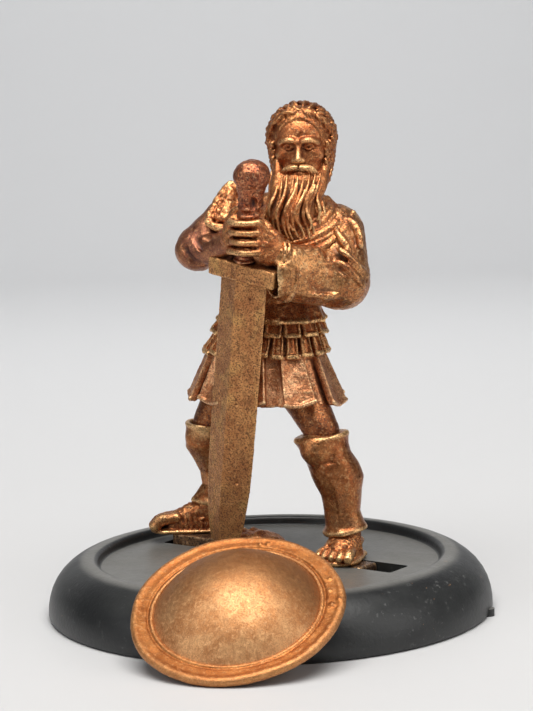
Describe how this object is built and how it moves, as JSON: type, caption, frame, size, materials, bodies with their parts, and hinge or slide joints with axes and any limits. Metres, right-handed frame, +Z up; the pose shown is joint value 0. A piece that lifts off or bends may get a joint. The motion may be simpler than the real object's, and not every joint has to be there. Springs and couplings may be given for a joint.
{
  "type": "tabletop miniature figure",
  "caption": "Bearded warrior miniature resting both hands on a broad sword, on a round lipped slotted base, with a loose round domed shield leaning on the base.",
  "frame": {"origin": "middle of the footprint's box, on the table", "axes": "+Z up, -Y towards the front where the shield leans, +X to the viewer's right, which is the figure's left"},
  "size_m": [0.03, 0.0346, 0.034],
  "materials": {
    "copper_paint": "copper-bronze metallic paint with dark brown wash in the recesses, satin",
    "blade_paint": "dull speckled bronze metallic paint, satin",
    "shield_paint": "brushed copper-gold metallic paint, semi-gloss, worn at the edge",
    "tab_paint": "thin dark brown wash over bare casting metal",
    "base_plastic": "black moulded plastic, satin"
  },
  "bodies": {
    "base": {"base_shell": "base_plastic"},
    "figure": {"slot_tab": "tab_paint", "ground_mound": "copper_paint", "left_sandal_sole": "copper_paint", "right_sandal_sole": "copper_paint", "left_foot": "copper_paint", "right_foot": "copper_paint", "left_greave": "copper_paint", "right_greave": "copper_paint", "left_thigh": "copper_paint", "right_thigh": "copper_paint", "tunic_skirt": "copper_paint", "pteruges_lower_row": "copper_paint", "pteruges_upper_row": "copper_paint", "jerkin_hem": "copper_paint", "torso": "copper_paint", "shoulder_drape": "copper_paint", "left_upper_sleeve": "copper_paint", "left_forearm_sleeve": "copper_paint", "left_hand": "copper_paint", "right_upper_sleeve": "copper_paint", "right_forearm": "copper_paint", "right_hand": "copper_paint", "right_sleeve_flap": "copper_paint", "neck": "copper_paint", "head": "copper_paint", "hair": "copper_paint", "beard": "copper_paint", "sword_blade": "blade_paint", "sword_guard": "blade_paint", "sword_grip": "copper_paint", "sword_pommel": "copper_paint"},
    "shield": {"shield_dome": "shield_paint", "shield_rim": "shield_paint"}
  },
  "joints": [
    {"name": "figure_lift", "type": "slide", "parent": "base", "child": "figure", "axis": [0, 0, 1], "range_m": [0, 0.006]},
    {"name": "shield_pull", "type": "slide", "parent": "base", "child": "shield", "axis": [0, -1, 0], "range_m": [0, 0.02]}
  ]
}
